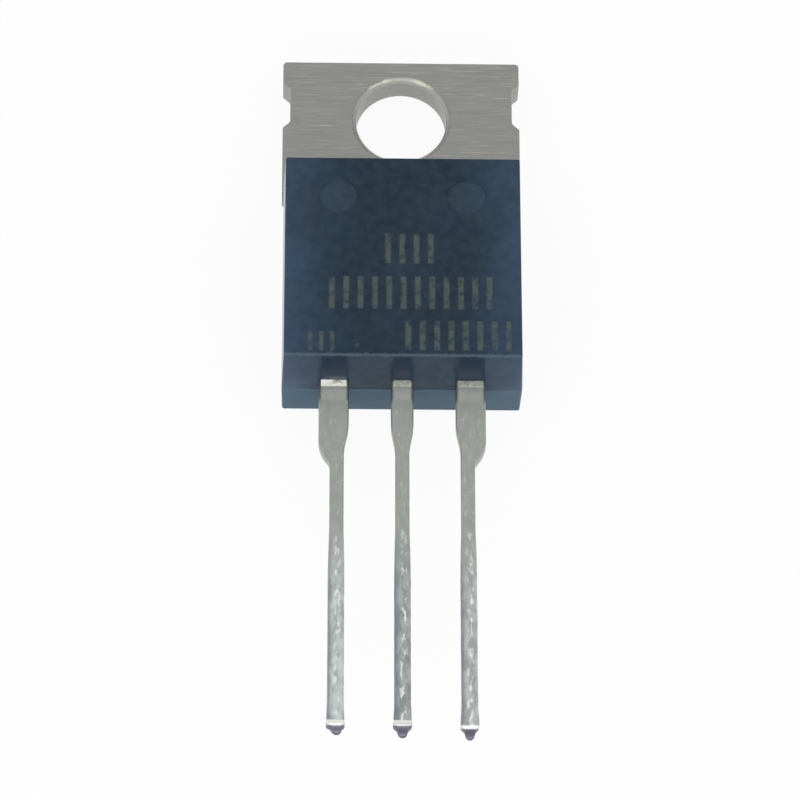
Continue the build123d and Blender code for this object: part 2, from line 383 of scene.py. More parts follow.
def maths(tree, operation, first, second=0.0, third=0.0):
    """A Math node's result."""
    made = add_node(tree, "ShaderNodeMath", {"operation": operation}, i0=first, i1=second)
    if operation in ("MULTIPLY_ADD", "SMOOTH_MIN", "SMOOTH_MAX", "WRAP", "COMPARE"):
        if isinstance(third, bpy.types.NodeSocket):
            tree.links.new(third, made.inputs[2])
        else:
            made.inputs[2].default_value = third
    return made.outputs[0]


def hypotenuse(tree, first, second):
    """The distance that two distances across each other make."""
    squares = [maths(tree, "MULTIPLY", part, part) for part in (first, second)]
    return maths(tree, "SQRT", maths(tree, "ADD", *squares))


def ramp_between(tree, value, low, high):
    """A smooth mask that goes from 0 at low to 1 at high."""
    made = add_node(
        tree,
        "ShaderNodeMapRange",
        {"interpolation_type": "SMOOTHSTEP"},
        Value=value,
        From_Min=low,
        From_Max=high,
    )
    return made.outputs["Result"]


def mix_colour(tree, mask, first, second):
    """A colour between two, by a mask."""
    made = tree.nodes.new("ShaderNodeMix")
    made.data_type = "RGBA"
    for place, value in ((0, mask), (6, first), (7, second)):
        if isinstance(value, bpy.types.NodeSocket):
            tree.links.new(value, made.inputs[place])
        elif place == 0:
            made.inputs[place].default_value = value
        else:
            made.inputs[place].default_value = (*value[:3], 1.0)
    return made.outputs[2]


def mix_value(tree, mask, first, second):
    """A number between two, by a mask."""
    made = tree.nodes.new("ShaderNodeMix")
    made.data_type = "FLOAT"
    for place, value in ((0, mask), (2, first), (3, second)):
        if isinstance(value, bpy.types.NodeSocket):
            tree.links.new(value, made.inputs[place])
        else:
            made.inputs[place].default_value = value
    return made.outputs[0]


def new_material(name):
    """An empty node material with a Principled shader, and that shader."""
    made = bpy.data.materials.new(name)
    made.use_nodes = True
    tree = made.node_tree
    shader = tree.nodes["Principled BSDF"]
    return made, tree, shader


def new_group(name, inputs, outputs):
    """An empty shader group with named sockets, and its tree, inputs and outputs."""
    group = bpy.data.node_groups.new(name, "ShaderNodeTree")
    for socket_name, kind, default in inputs:
        socket = group.interface.new_socket(socket_name, in_out="INPUT", socket_type=kind)
        if default is not None:
            socket.default_value = default
    for socket_name, kind in outputs:
        group.interface.new_socket(socket_name, in_out="OUTPUT", socket_type=kind)
    entry = group.nodes.new("NodeGroupInput")
    leave = group.nodes.new("NodeGroupOutput")
    return group, entry.outputs, leave.inputs


def place_group(tree, group, **sockets):
    """Places a shader group in a material and sets or links its inputs."""
    made = tree.nodes.new("ShaderNodeGroup")
    made.node_tree = group
    for key, value in sockets.items():
        socket = made.inputs[key.replace("_", " ")]
        if isinstance(value, bpy.types.NodeSocket):
            tree.links.new(value, socket)
        else:
            socket.default_value = value
    return made.outputs


# Effects that several finishes share


def object_axes(tree):
    """The object coordinates of a point in millimetres, as a vector and as X, Y and Z."""
    place = add_node(tree, "ShaderNodeTexCoord").outputs["Object"]
    scaled = add_node(
        tree, "ShaderNodeVectorMath", {"operation": "SCALE"}, i0=place, Scale=1 / MM
    ).outputs[0]
    axes = add_node(tree, "ShaderNodeSeparateXYZ", Vector=scaled).outputs
    return scaled, axes["X"], axes["Y"], axes["Z"]


def make_grain_group():
    """Noise stretched along an axis: a value that varies, and a normal from its relief."""
    group, given, result = new_group(
        "grain",
        [
            ("Vector", "NodeSocketVector", None),
            ("Stretch", "NodeSocketVector", (1.0, 1.0, 1.0)),
            ("Detail", "NodeSocketFloat", 3.0),
            ("Relief", "NodeSocketFloat", 0.1),
            ("Depth", "NodeSocketFloat", 0.002),
        ],
        [("Value", "NodeSocketFloat"), ("Normal", "NodeSocketVector")],
    )
    stretched = add_node(
        group,
        "ShaderNodeVectorMath",
        {"operation": "MULTIPLY"},
        i0=given["Vector"],
        i1=given["Stretch"],
    ).outputs[0]
    noise = add_node(
        group, "ShaderNodeTexNoise", Vector=stretched, Scale=1.0, Detail=given["Detail"]
    ).outputs[0]
    relief = add_node(
        group,
        "ShaderNodeBump",
        Strength=given["Relief"],
        Distance=given["Depth"],
        Height=noise,
    ).outputs[0]
    group.links.new(noise, result["Value"])
    group.links.new(relief, result["Normal"])
    return group


def make_ragged_group():
    """A band round a distance of 0, with an edge that a noise makes uneven."""
    group, given, result = new_group(
        "ragged band",
        [
            ("Vector", "NodeSocketVector", None),
            ("Distance", "NodeSocketFloat", 0.0),
            ("Width", "NodeSocketFloat", 0.1),
            ("Raggedness", "NodeSocketFloat", 0.5),
            ("Scale", "NodeSocketFloat", 6.0),
        ],
        [("Mask", "NodeSocketFloat")],
    )
    noise = add_node(
        group, "ShaderNodeTexNoise", Vector=given["Vector"], Scale=given["Scale"], Detail=2.0
    ).outputs[0]
    wander = maths(group, "MULTIPLY", maths(group, "SUBTRACT", noise, 0.5), 2.0)
    share = maths(group, "MULTIPLY", wander, given["Raggedness"])
    width = maths(group, "MULTIPLY", given["Width"], maths(group, "ADD", share, 1.0))
    away = maths(group, "ABSOLUTE", given["Distance"])
    inside = maths(group, "DIVIDE", away, maths(group, "MAXIMUM", width, 0.0001))
    mask = maths(group, "SUBTRACT", 1.0, ramp_between(group, inside, 0.6, 1.1))
    group.links.new(mask, result["Mask"])
    return group


def make_ink_group():
    """A row of plain upright bars of ink, between two ends and two heights."""
    group, given, result = new_group(
        "ink bars",
        [
            ("X", "NodeSocketFloat", 0.0),
            ("Y", "NodeSocketFloat", 0.0),
            ("Left", "NodeSocketFloat", -1.0),
            ("Right", "NodeSocketFloat", 1.0),
            ("Bottom", "NodeSocketFloat", -1.0),
            ("Top", "NodeSocketFloat", 1.0),
            ("Pitch", "NodeSocketFloat", 0.56),
            ("Bar", "NodeSocketFloat", 0.26),
        ],
        [("Mask", "NodeSocketFloat")],
    )
    soft = 0.04

    def above(value, limit):
        gap = maths(group, "SUBTRACT", value, limit)
        return ramp_between(group, gap, -soft, soft)

    from_left = maths(group, "SUBTRACT", given["X"], given["Left"])
    in_pitch = maths(group, "WRAP", from_left, given["Pitch"], 0.0)
    in_bar = maths(
        group, "MULTIPLY", above(in_pitch, soft), above(given["Bar"], in_pitch)
    )
    across = maths(
        group, "MULTIPLY", above(given["X"], given["Left"]), above(given["Right"], given["X"])
    )
    along = maths(
        group, "MULTIPLY", above(given["Y"], given["Bottom"]), above(given["Top"], given["Y"])
    )
    mask = maths(group, "MULTIPLY", maths(group, "MULTIPLY", across, along), in_bar)
    group.links.new(mask, result["Mask"])
    return group


# Finishes


def ink_mask(tree, groups, x, y):
    """Where the front face carries worn ink: plain bars in three rows, and a dot."""
    rows = (
        {"Left": -0.74, "Right": 1.33, "Bottom": -8.2, "Top": -6.89},
        {"Left": -2.93, "Right": 3.62, "Bottom": -10.2, "Top": -8.79},
        {"Left": -3.72, "Right": -2.59, "Bottom": -12.04, "Top": -11.2, "Pitch": 0.42, "Bar": 0.2},
        {"Left": 0.05, "Right": 4.2, "Bottom": -12.0, "Top": -10.73},
    )
    dot_x, dot_y, dot_radius = -1.78, -11.8, 0.09
    away = hypotenuse(
        tree, maths(tree, "SUBTRACT", x, dot_x), maths(tree, "SUBTRACT", y, dot_y)
    )
    mask = maths(
        tree, "SUBTRACT", 1.0, ramp_between(tree, away, dot_radius * 0.6, dot_radius * 1.2)
    )
    for row in rows:
        bars = place_group(tree, groups["ink"], X=x, Y=y, **row)["Mask"]
        mask = maths(tree, "MAXIMUM", mask, bars)
    return mask


def lead_mask(tree, x, leads, inset):
    """Where X is within the width of a lead's shoulder, less an inset at each edge."""
    reach = maths(tree, "ABSOLUTE", x)
    outer_middle = LEAD_PITCH + (leads.outer_step - leads.inner_step) / 2
    outer_half = (leads.stem_width + leads.outer_step + leads.inner_step) / 2
    masks = []
    for middle_x, half in ((0, leads.centre_width / 2), (outer_middle, outer_half)):
        away = maths(tree, "ABSOLUTE", maths(tree, "SUBTRACT", reach, middle_x / MM))
        half_shown = (half - inset) / MM
        past = ramp_between(tree, away, half_shown - 0.05, half_shown + 0.05)
        masks.append(maths(tree, "SUBTRACT", 1.0, past))
    return maths(tree, "MAXIMUM", *masks)


def make_compound(groups, finishes, sizes, leads):
    """Black moulding compound: cloudy colour, fine grain, worn ink, a painted sheen that makes its
    sides lighter and bluer, and a painted reflection of the leads on its end face.
    """
    made, tree, shader = new_material("moulding_compound")
    vector, x, y, z = object_axes(tree)
    low, high = MOULDING_LOW / MM, MOULDING_HIGH / MM
    front = ramp_between(tree, z, high.z - 0.12, high.z - 0.06)
    # Painted sheen: the colour turns lighter and bluer towards the sides.
    side = ramp_between(tree, maths(tree, "ABSOLUTE", x), high.x * 0.45, high.x * 1.05)
    clouds = place_group(tree, groups["grain"], Vector=vector, Stretch=(0.5, 0.4, 0.5))
    base = mix_colour(tree, side, finishes.compound, finishes.compound_side_sheen)
    darker = mix_colour(tree, 0.25, base, (0.0, 0.0, 0.0))
    base = mix_colour(tree, ramp_between(tree, clouds["Value"], 0.35, 0.65), darker, base)
    mottle = place_group(tree, groups["grain"], Vector=vector, Stretch=(2.6, 2.6, 2.6), Detail=3.0)
    paler = mix_colour(tree, 0.03, base, (0.3, 0.4, 0.45))
    base = mix_colour(tree, ramp_between(tree, mottle["Value"], 0.3, 0.7), base, paler)
    at_leads = maths(tree, "SUBTRACT", 1.0, ramp_between(tree, y, low.y + 0.16, low.y + 0.22))
    at_end = maths(tree, "SUBTRACT", 1.0, ramp_between(tree, y, low.y + 0.34, low.y + 0.42))
    behind = maths(
        tree,
        "SUBTRACT",
        1.0,
        ramp_between(tree, z, LEAD_LOW.z / MM - 0.02, LEAD_LOW.z / MM + 0.02),
    )
    frosted = maths(tree, "MULTIPLY", at_leads, behind)
    base = mix_colour(tree, frosted, base, finishes.frosted)
    # Painted reflection of the leads: the front half of the end face turns dark blue over each lead,
    # and a little darker between them.
    in_front = ramp_between(tree, z, LEAD_HIGH.z / MM, LEAD_HIGH.z / MM + 0.1)
    shade = mix_value(tree, lead_mask(tree, x, leads, leads.edge_radius), 0.22, 1.0)
    shade = maths(tree, "MULTIPLY", shade, maths(tree, "MULTIPLY", in_front, at_end))
    base = mix_colour(tree, shade, base, (0.0, 0.009, 0.032))

    mark_y = high.y - sizes.mark_to_end / MM
    mark_x = sizes.mark_spacing / MM / 2
    across = maths(tree, "SUBTRACT", maths(tree, "ABSOLUTE", x), mark_x)
    along = maths(tree, "SUBTRACT", y, mark_y)
    away = hypotenuse(tree, across, along)
    mark_radius = sizes.mark_diameter / MM / 2
    in_mark = maths(
        tree, "SUBTRACT", 1.0, ramp_between(tree, away, mark_radius * 0.94, mark_radius * 1.02)
    )
    in_mark = maths(tree, "MULTIPLY", in_mark, front)
    base = mix_colour(tree, maths(tree, "MULTIPLY", in_mark, 0.05), base, (0.2, 0.3, 0.36))

    wear = place_group(tree, groups["grain"], Vector=vector, Stretch=(3.0, 3.0, 3.0), Detail=4.0)
    ink = maths(tree, "MULTIPLY", ink_mask(tree, groups, x, y), front)
    ink = maths(tree, "MULTIPLY", ink, ramp_between(tree, wear["Value"], 0.25, 0.6))
    base = mix_colour(tree, maths(tree, "MULTIPLY", ink, 0.85), base, finishes.ink)

    front_edge_y = low.y + (high.z - LEAD_LOW.z / MM) * math.tan(sizes.lead_end_draft)
    from_edge_y = maths(tree, "SUBTRACT", y, front_edge_y)
    from_edge_z = maths(tree, "SUBTRACT", z, high.z)
    from_edge = hypotenuse(tree, from_edge_y, from_edge_z)
    worn_edge = place_group(
        tree, groups["ragged"], Vector=vector, Distance=from_edge, Width=0.09, Raggedness=1.2
    )["Mask"]
    base = mix_colour(tree, maths(tree, "MULTIPLY", worn_edge, 0.5), base, (0.08, 0.12, 0.14))

    grain = place_group(
        tree,
        groups["grain"],
        Vector=vector,
        Stretch=(22.0, 22.0, 22.0),
        Detail=4.0,
        Relief=0.35,
        Depth=0.000004,
    )
    smooth = mix_value(tree, grain["Value"], 0.14, 0.24)
    matt = mix_value(tree, grain["Value"], 0.36, 0.5)
    roughness = mix_value(tree, front, smooth, matt)
    roughness = mix_value(tree, frosted, roughness, 0.55)
    roughness = mix_value(tree, ink, roughness, 0.65)
    roughness = mix_value(tree, worn_edge, roughness, 0.5)
    tree.links.new(base, shader.inputs["Base Color"])
    tree.links.new(roughness, shader.inputs["Roughness"])
    tree.links.new(grain["Normal"], shader.inputs["Normal"])
    shader.inputs["IOR"].default_value = 1.4
    shader.inputs["Specular Tint"].default_value = (0.85, 0.97, 1.0, 1.0)
    return made


def add_streaked_metal(tree, groups, vector, tint, stretch, contrast):
    """Colour, roughness and normal of dull plating with fine straight marks and pale scratches."""
    streaks = place_group(
        tree,
        groups["grain"],
        Vector=vector,
        Stretch=stretch,
        Detail=5.0,
        Relief=0.4,
        Depth=0.000003,
    )
    fine = [part * 1.7 for part in stretch]
    scratches = place_group(tree, groups["grain"], Vector=vector, Stretch=fine, Detail=1.0)
    blotches = place_group(tree, groups["grain"], Vector=vector, Stretch=(1.1, 1.1, 1.1))
    dark = mix_colour(tree, contrast, tint, (0.0, 0.0, 0.0))
    light = mix_colour(tree, contrast, tint, (1.0, 1.0, 0.95))
    base = mix_colour(tree, ramp_between(tree, streaks["Value"], 0.3, 0.72), dark, light)
    shaded = mix_colour(tree, 0.06, base, dark)
    base = mix_colour(tree, ramp_between(tree, blotches["Value"], 0.3, 0.7), shaded, base)
    scratched = ramp_between(tree, scratches["Value"], 0.62, 0.74)
    base = mix_colour(tree, maths(tree, "MULTIPLY", scratched, 0.4), base, (0.72, 0.72, 0.62))
    roughness = mix_value(tree, streaks["Value"], 0.32, 0.5)
    return base, roughness, streaks["Normal"]


def add_exit_shade(tree, leads, x, y, base):
    """Painted light and shade on the plating near the moulding: painted light that makes the flat a
    little paler, and a painted dark reflection on the rolled edges.
    """
    exit_y = MOULDING_LOW.y / MM
    # Painted light: the flat turns paler near the moulding.
    painted_light_near_exit = ramp_between(tree, y, exit_y - 0.95, exit_y - 0.3)
    outside = maths(tree, "SUBTRACT", 1.0, ramp_between(tree, y, exit_y + 0.3, exit_y + 0.4))
    painted_light_near_exit = maths(tree, "MULTIPLY", painted_light_near_exit, outside)
    base = mix_colour(tree, maths(tree, "MULTIPLY", painted_light_near_exit, 0.6), base, (0.85, 0.87, 0.8))
    # Painted reflection: the rolled edges turn dark near the moulding.
    rolled = maths(tree, "SUBTRACT", 1.0, lead_mask(tree, x, leads, leads.edge_radius))
    shaded = ramp_between(tree, y, exit_y - 0.95, exit_y - 0.6)
    shaded = maths(tree, "MULTIPLY", maths(tree, "MULTIPLY", shaded, outside), 0.8)
    shaded = maths(tree, "MULTIPLY", rolled, shaded)
    return mix_colour(tree, shaded, base, (0.06, 0.08, 0.11))


def make_header_metal(groups, finishes, sizes, leads):
    """Dull plating on the header: marks across the tab, along the centre lead, painted light and
    shade near the moulding and in the hole, and a bare rim whose lighter far arc is a painted
    highlight.
    """
    made, tree, shader = new_material("header_plating")
    vector, x, y, z = object_axes(tree)
    tab = add_streaked_metal(tree, groups, vector, finishes.tin, (0.5, 14.0, 14.0), 0.06)
    lead = add_streaked_metal(tree, groups, vector, finishes.lead_tin, (5.0, 1.8, 5.0), 0.055)
    on_tab = ramp_between(tree, y, MOULDING_LOW.y / MM + 0.6, MOULDING_LOW.y / MM + 1.0)
    base = mix_colour(tree, on_tab, add_exit_shade(tree, leads, x, y, lead[0]), tab[0])
    half_rim = sizes.rim_chamfer / MM / 2
    reach = HOLE_RADIUS / MM
    across_rim = maths(tree, "SUBTRACT", hypotenuse(tree, x, y), reach + 1.1 * half_rim)
    below_rim = maths(tree, "SUBTRACT", z, sizes.thickness / MM - 0.9 * half_rim)
    rim = place_group(
        tree,
        groups["ragged"],
        Vector=vector,
        Distance=hypotenuse(tree, across_rim, below_rim),
        Width=0.8 * half_rim,
        Raggedness=1.2,
        Scale=2.6,
    )["Mask"]
    edge_x = maths(tree, "SUBTRACT", hypotenuse(tree, x, y), reach + 0.5 * half_rim)
    edge_z = maths(tree, "SUBTRACT", z, sizes.thickness / MM - 1.5 * half_rim)
    edge = ramp_between(tree, hypotenuse(tree, edge_x, edge_z), 0.8 * half_rim, 1.3 * half_rim)
    edge = maths(tree, "MULTIPLY", maths(tree, "SUBTRACT", 1.0, edge), 0.3)
    base = mix_colour(tree, edge, base, (0.9, 0.9, 0.85))
    # Painted shade: the far part of the hole's wall is a little darker.
    painted_hole_shade = ramp_between(tree, hypotenuse(tree, x, y), reach + 0.01, reach + 0.03)
    painted_hole_shade = maths(tree, "SUBTRACT", 1.0, painted_hole_shade)
    painted_hole_shade = maths(tree, "MULTIPLY", painted_hole_shade, ramp_between(tree, y, 0.0, reach))
    base = mix_colour(tree, maths(tree, "MULTIPLY", painted_hole_shade, 0.1), base, (0.0, 0.0, 0.0))
    # Partly real and partly painted highlight: the rim is bare and smoother, but its lighter colour
    # lies only on the far arc, weaker in the middle and broken by chips.
    rim = maths(tree, "MULTIPLY", rim, ramp_between(tree, y, 0.74 * reach, 0.86 * reach))
    chips = place_group(tree, groups["grain"], Vector=vector, Stretch=(2.4, 2.4, 2.4))
    off_middle = ramp_between(tree, maths(tree, "ABSOLUTE", x), 0.15 * reach, 0.45 * reach)
    broken = ramp_between(tree, chips["Value"], 0.32, 0.42)
    rim = maths(tree, "MULTIPLY", rim, mix_value(tree, off_middle, 0.22, broken))
    base = mix_colour(tree, rim, base, finishes.bare_tin)
    normal = add_node(
        tree, "ShaderNodeMix", {"data_type": "VECTOR"}, i0=on_tab, i4=lead[2], i5=tab[2]
    )
    roughness = mix_value(tree, on_tab, lead[1], tab[1])
    tree.links.new(base, shader.inputs["Base Color"])
    tree.links.new(mix_value(tree, rim, roughness, 0.25), shader.inputs["Roughness"])
    tree.links.new(normal.outputs[1], shader.inputs["Normal"])
    shader.inputs["Metallic"].default_value = 1.0
    return made


def make_lead_metal(groups, finishes, leads):
    """Dull plating on the outer leads, with marks along them, and painted light and a painted dark
    reflection near the moulding.
    """
    made, tree, shader = new_material("lead_plating")
    vector, x, y, _ = object_axes(tree)
    base, roughness, normal = add_streaked_metal(
        tree, groups, vector, finishes.lead_tin, (5.0, 1.8, 5.0), 0.055
    )
    base = add_exit_shade(tree, leads, x, y, base)
    tree.links.new(base, shader.inputs["Base Color"])
    tree.links.new(roughness, shader.inputs["Roughness"])
    tree.links.new(normal, shader.inputs["Normal"])
    shader.inputs["Metallic"].default_value = 1.0
    return made


def make_ridge_metal(groups, finishes):
    """Bare metal of the ridges where the leads leave the moulding, with a painted highlight that
    makes the base lead's ridge near white.
    """
    made, tree, shader = new_material("bare_ridge")
    vector, x, _, _ = object_axes(tree)
    patches = place_group(tree, groups["grain"], Vector=vector, Stretch=(3.5, 3.5, 3.5))
    clean = ramp_between(tree, patches["Value"], 0.4, 0.6)
    # Painted highlight: the ridge on the base lead is near white, the others duller.
    highlight_on_base_lead = maths(tree, "SUBTRACT", 1.0, ramp_between(tree, x, -1.6, -1.0))
    painted_highlight = mix_colour(tree, clean, (0.85, 0.87, 0.76), (1.0, 1.0, 1.0))
    dull = mix_colour(tree, clean, (0.46, 0.49, 0.43), (0.58, 0.6, 0.5))
    tree.links.new(mix_colour(tree, highlight_on_base_lead, dull, painted_highlight), shader.inputs["Base Color"])
    tree.links.new(mix_value(tree, highlight_on_base_lead, 0.5, 0.2), shader.inputs["Roughness"])
    tree.links.new(patches["Normal"], shader.inputs["Normal"])
    shader.inputs["Metallic"].default_value = 1.0
    return made


def make_solder(groups, finishes):
    """Hot-dipped solder: dull at its start, then pale flecks along the middle of a lead as a painted
    highlight, with painted shade on its left edge, a painted highlight in a band at its end and
    painted shade on the drip.
    """
    made, tree, shader = new_material("dipped_solder")
    vector, x, y, z = object_axes(tree)
    pitch, start_y, tip_y = LEAD_PITCH / MM, COAT_HIGH.y / MM, LEAD_LOW.y / MM
    dipped = maths(tree, "SUBTRACT", 1.0, ramp_between(tree, y, start_y - 5.5, start_y - 0.6))
    frost = place_group(
        tree,
        groups["grain"],
        Vector=vector,
        Stretch=(5.0, 1.8, 5.0),
        Detail=5.0,
        Relief=0.4,
        Depth=0.000006,
    )
    outside = maths(
        tree, "SUBTRACT", maths(tree, "ABSOLUTE", x), maths(tree, "MULTIPLY", x, 0.25)
    )
    tint = mix_colour(
        tree,
        ramp_between(tree, outside, 0.0, 1.25 * pitch),
        finishes.solder,
        finishes.bright_solder,
    )
    dull = mix_colour(tree, 0.32, tint, (0.0, 0.0, 0.02))
    base = mix_colour(tree, ramp_between(tree, frost["Value"], 0.35, 0.65), dull, tint)

    # Painted highlight: pale flecks in a wandering stripe along the middle of each lead, fading out
    # near the start of the coat.
    across = maths(tree, "WRAP", x, pitch / 2, -pitch / 2)
    wander = place_group(tree, groups["grain"], Vector=vector, Stretch=(0.2, 0.9, 0.2))
    line = maths(tree, "MULTIPLY_ADD", wander["Value"], 0.3, -0.12)
    from_line = maths(tree, "ABSOLUTE", maths(tree, "SUBTRACT", across, line))
    highlight_stripe = maths(tree, "SUBTRACT", 1.0, ramp_between(tree, from_line, 0.05, 0.17))
    flecks = place_group(
        tree, groups["grain"], Vector=vector, Stretch=(6.0, 2.4, 6.0), Detail=4.0
    )
    painted_highlight = maths(tree, "MULTIPLY", highlight_stripe, ramp_between(tree, flecks["Value"], 0.5, 0.62))
    # Painted shade: the left edge of each lead is darker and bluer.
    painted_left_shade = maths(tree, "SUBTRACT", 1.0, ramp_between(tree, across, -0.28, -0.12))
    base = mix_colour(tree, maths(tree, "MULTIPLY", painted_left_shade, 0.6), base, (0.19, 0.2, 0.28))
    base = mix_colour(tree, dipped, finishes.lead_tin, base)
    started = maths(tree, "SUBTRACT", 1.0, ramp_between(tree, y, start_y - 4.5, start_y))
    base = mix_colour(tree, maths(tree, "MULTIPLY", painted_highlight, started), base, (0.93, 0.97, 0.91))

    # Painted highlight and shade at the lead's end: a pale band across the end, and the drip below it
    # darker.
    below_top = maths(tree, "SUBTRACT", COAT_HIGH.z / MM, z)
    fallen = maths(tree, "MULTIPLY_ADD", below_top, 0.41, maths(tree, "SUBTRACT", tip_y, y))
    at_emitter = ramp_between(tree, x, 0.4 * pitch, 0.6 * pitch)
    from_band = maths(tree, "SUBTRACT", fallen, mix_value(tree, at_emitter, 0.03, 0.2))
    band_width = mix_value(tree, at_emitter, 0.13, 0.08)
    band = place_group(
        tree,
        groups["ragged"],
        Vector=vector,
        Distance=from_band,
        Width=band_width,
        Raggedness=0.3,
    )["Mask"]
    painted_drip_shade = ramp_between(tree, maths(tree, "SUBTRACT", from_band, band_width), -0.1, 0.0)
    base = mix_colour(tree, painted_drip_shade, base, (0.15, 0.15, 0.2))
    tip_highlight_tint = mix_colour(
        tree, ramp_between(tree, from_band, -0.04, 0.04), (0.97, 0.97, 0.9), (0.62, 0.61, 0.6)
    )
    base = mix_colour(tree, band, base, tip_highlight_tint)
    roughness = mix_value(tree, frost["Value"], 0.16, 0.4)
    roughness = mix_value(tree, dipped, 0.42, roughness)
    roughness = mix_value(tree, maths(tree, "MAXIMUM", painted_drip_shade, band), roughness, 0.45)
    tree.links.new(base, shader.inputs["Base Color"])
    tree.links.new(roughness, shader.inputs["Roughness"])
    tree.links.new(frost["Normal"], shader.inputs["Normal"])
    shader.inputs["Metallic"].default_value = 1.0
    return made


def make_inner_metal(name, groups, tint, roughness, stretch):
    """A plain metal with fine marks, for the sealed pieces."""
    made, tree, shader = new_material(name)
    vector, _, _, _ = object_axes(tree)
    marks = place_group(
        tree, groups["grain"], Vector=vector, Stretch=stretch, Relief=0.3, Depth=0.000002
    )
    dark = mix_colour(tree, 0.3, tint, (0.0, 0.0, 0.0))
    tree.links.new(
        mix_colour(tree, marks["Value"], dark, tint), shader.inputs["Base Color"]
    )
    tree.links.new(
        mix_value(tree, marks["Value"], roughness, roughness * 1.6), shader.inputs["Roughness"]
    )
    tree.links.new(marks["Normal"], shader.inputs["Normal"])
    shader.inputs["Metallic"].default_value = 1.0
    return made


def make_floor(groups, finishes, white_share):
    """Pale floor that keeps the part's shadow and shows white behind it."""
    made, tree, shader = new_material("studio_floor")
    vector, _, _, _ = object_axes(tree)
    paper = place_group(tree, groups["grain"], Vector=vector, Stretch=(0.2, 0.2, 0.2))
    tint = mix_colour(tree, paper["Value"], [c * 0.98 for c in finishes.floor], finishes.floor)
    tree.links.new(tint, shader.inputs["Base Color"])
    shader.inputs["Roughness"].default_value = 0.9
    shader.inputs["Specular IOR Level"].default_value = 0.0
    white = add_node(tree, "ShaderNodeEmission", Color=(1.0, 1.0, 1.0, 1.0), Strength=1.0)
    rays = add_node(tree, "ShaderNodeLightPath").outputs
    seen = maths(tree, "MAXIMUM", rays["Is Camera Ray"], rays["Is Glossy Ray"])
    seen = maths(tree, "MAXIMUM", seen, rays["Is Transmission Ray"])
    mixed = add_node(
        tree,
        "ShaderNodeMixShader",
        i0=maths(tree, "MULTIPLY", seen, white_share),
        i1=shader.outputs[0],
        i2=white.outputs[0],
    )
    output = tree.nodes["Material Output"]
    tree.links.new(mixed.outputs[0], output.inputs["Surface"])
    return made


# Shapes


def extend(piece, axis, value, run, low=None, high=None):
    """Extrudes the end face that lies across an axis, and moves the new end by a run."""

    def is_end(face):
        inside = low is None or all(
            low[i] - NEAR < face.calc_center_median()[i] < high[i] + NEAR for i in range(3)
        )
        return on_plane(face, axis, value) and inside

    choose(piece, "FACE", is_end)
    bpy.ops.mesh.extrude_region_move(TRANSFORM_OT_translate={"value": run})


def set_end_width(piece, left, right):
    """Moves the two sides of the selected end to new X places."""
    mesh = bmesh.from_edit_mesh(piece.data)
    picked = [vertex for vertex in mesh.verts if vertex.select]
    centre = sum(vertex.co.x for vertex in picked) / len(picked)
    for vertex in picked:
        vertex.co.x = left if vertex.co.x < centre else right
    bmesh.update_edit_mesh(piece.data)


def draw_lead(piece, y, stations):
    """Draws the selected end of a lead out from y, through stations of Y, left X and right X."""
    for next_y, left, right in stations:
        bpy.ops.mesh.extrude_region_move(TRANSFORM_OT_translate={"value": (0, next_y - y, 0)})
        set_end_width(piece, left, right)
        y = next_y


def make_cylinder(name, centre, radius, bottom, top, sides=96):
    """An upright cylinder, to cut with."""
    deselect_all()
    bpy.ops.mesh.primitive_cylinder_add(
        vertices=sides,
        radius=radius,
        depth=top - bottom,
        location=(centre[0], centre[1], (bottom + top) / 2),
    )
    piece = bpy.context.object
    piece.name = name
    bpy.ops.object.transform_apply(location=True, rotation=True, scale=True)
    return piece


def copy_piece(piece, name):
    """A copy of a piece, with its own mesh."""
    twin = piece.copy()
    twin.data = piece.data.copy()
    twin.name = name
    bpy.context.collection.objects.link(twin)
    return twin


def shape_moulding(sizes):
    """Two drafted halves that meet in the plane of the leads' undersides."""
    low, high = MOULDING_LOW, MOULDING_HIGH
    parting = LEAD_LOW.z
    front, rear = high.z - parting, parting - low.z
    piece = block("moulding", low, (high.x, high.y, parting))
    edit(piece)

    def lean(z, sides, lead_end, tab_end):
        shift(piece, lambda v: on_height(v, z) and v.co.x < 0, (sides, 0, 0))
        shift(piece, lambda v: on_height(v, z) and v.co.x > 0, (-sides, 0, 0))
        shift(piece, lambda v: on_height(v, z) and v.co.y < low.y + NEAR, (0, lead_end, 0))
        if tab_end:
            shift(piece, lambda v: on_height(v, z) and v.co.y > high.y - NEAR, (0, -tab_end, 0))

    lean(
        low.z,
        rear * math.tan(sizes.rear_side_draft),
        rear * math.tan(sizes.rear_end_draft),
        0,
    )
    extend(piece, 2, parting, (0, 0, front))
    lean(
        high.z,
        front * math.tan(sizes.side_draft),
        front * math.tan(sizes.lead_end_draft),
        front * math.tan(sizes.tab_end_draft),
    )
    bevel(piece, lambda e: runs_along(e, 2), sizes.corner_radius, 4)
    bevel(piece, lambda e: on_plane(e, 2, high.z), sizes.front_radius, 4)
    bevel(piece, lambda e: on_plane(e, 2, low.z), sizes.rear_radius, 2)
    for side in (-1, 1):
        centre = Vector((side * sizes.mark_spacing / 2, high.y - sizes.mark_to_end, 0))
        radius = sizes.mark_diameter / 2
        floor = high.z - sizes.mark_depth
        pin = make_cylinder("pin", centre, radius, floor, high.z + sizes.mark_depth, 64)
        edit(pin)
        bevel(pin, lambda e: on_plane(e, 2, floor), sizes.mark_depth * 0.4, 2)
        cut(piece, pin)
        edit(piece)

        def is_rim(edge):
            away = (middle(edge).xy - centre.xy).length
            return on_plane(edge, 2, high.z) and away < radius * 1.01

        bevel(piece, is_rim, sizes.mark_depth * 0.3, 2)
    return piece


def on_height(vertex, z):
    """Whether a vertex lies at a height."""
    return abs(vertex.co.z - z) < NEAR


